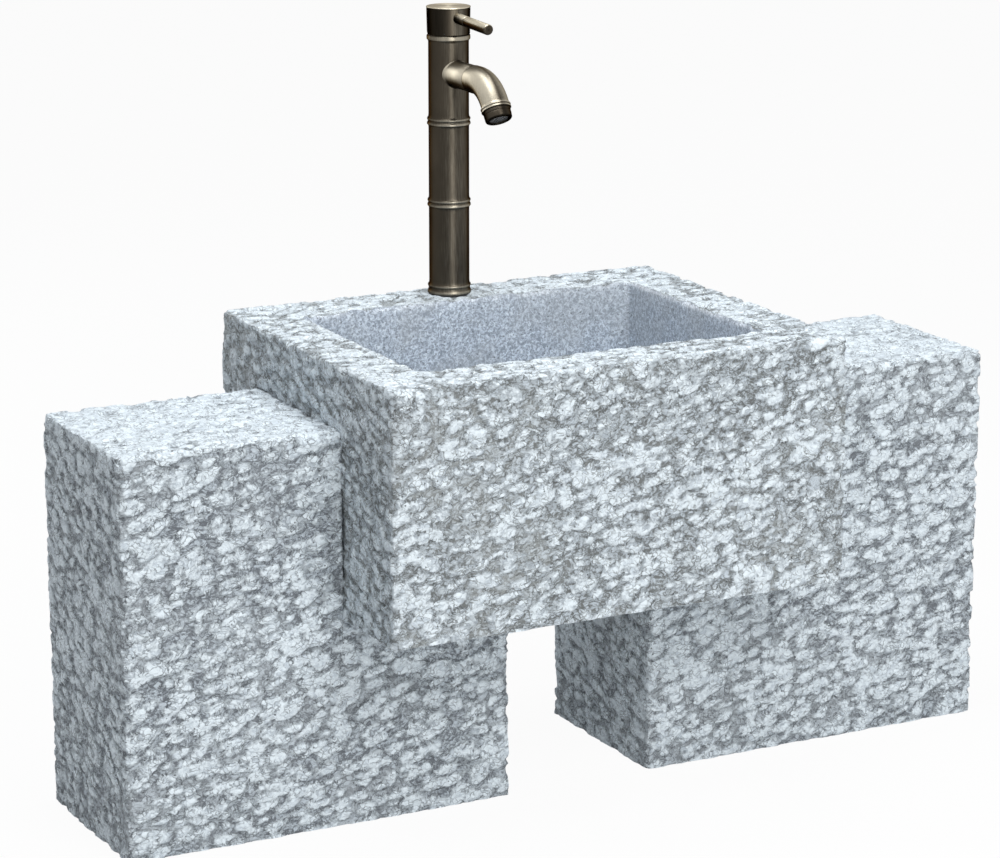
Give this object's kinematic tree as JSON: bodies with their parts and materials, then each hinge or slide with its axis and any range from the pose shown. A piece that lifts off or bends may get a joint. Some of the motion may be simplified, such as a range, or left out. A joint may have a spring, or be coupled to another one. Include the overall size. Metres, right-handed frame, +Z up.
{
  "type": "granite garden fountain",
  "caption": "Rough-hewn granite garden washbasin resting in notched pedestals, with a bamboo-shaped lever tap and a push-open waste.",
  "frame": {"origin": "on the ground, under the middle of the whole piece", "axes": "+X along the length towards the right pedestal, +Z up, -Y towards the side where a person stands and the spout points"},
  "size_m": [0.968, 0.4, 0.76],
  "materials": {
    "granite_pedestal": "rough-hewn grey granite",
    "granite_basin": "rough-hewn grey granite outside, honed in the pool",
    "antique_brass": "antique bronzed brass, satin",
    "raw_brass": "turned brass",
    "steel": "stainless steel, satin",
    "rubber": "black sealing rubber",
    "white_plastic": "moulded white plastic",
    "dark_plastic": "moulded dark grey plastic",
    "ceramic": "lapped white ceramic"
  },
  "bodies": {
    "fountain": {"left_pedestal": "granite_pedestal", "right_pedestal": "granite_pedestal", "basin": "granite_basin", "tap_column": "antique_brass", "base_gasket": "rubber", "threaded_shank": "raw_brass", "shank_rubber_washer": "rubber", "shank_steel_washer": "steel", "shank_nut": "raw_brass", "spout_socket": "antique_brass", "spout_elbow": "antique_brass", "aerator_housing": "antique_brass", "aerator_seal": "rubber", "aerator_insert": "dark_plastic", "mixer_core": "raw_brass", "port_gasket": "rubber", "cartridge_base": "white_plastic", "cartridge_body": "white_plastic", "fixed_disc": "ceramic", "bonnet_nut": "raw_brass", "waste_body": "raw_brass", "waste_top_gasket": "rubber", "waste_bottom_gasket": "rubber", "waste_lock_nut": "raw_brass", "tail_pipe": "raw_brass", "latch": "white_plastic"},
    "mixer": {"carrier": "white_plastic", "stem_pin": "steel"},
    "disc": {"moving_disc": "ceramic"},
    "handle": {"stem": "steel", "handle_cap": "antique_brass", "lever_pin": "antique_brass", "grub_screw": "steel", "index_plug": "rubber"},
    "plug": {"drain_plug": "antique_brass", "plug_seal": "rubber", "plug_stem": "steel"}
  },
  "joints": [
    {"name": "mixer_turn", "type": "hinge", "parent": "fountain", "child": "mixer", "pos_m": [-0.011, 0.168, 0.7435], "axis": [0, 0, 1], "range_deg": [-45, 45]},
    {"name": "lever_lift", "type": "hinge", "parent": "mixer", "child": "handle", "pos_m": [-0.011, 0.168, 0.7435], "axis": [-1, 0, 0], "range_deg": [0, 20]},
    {"name": "disc_slide", "type": "slide", "parent": "mixer", "child": "disc", "axis": [0, -1, 0], "range_m": [0, 0.0028]},
    {"name": "plug_lift", "type": "slide", "parent": "fountain", "child": "plug", "axis": [0, 0, 1], "range_m": [0, 0.009]}
  ],
  "couplings": [
    {"joint": "disc_slide", "follows": "lever_lift", "m_per_rad": 0.008}
  ]
}
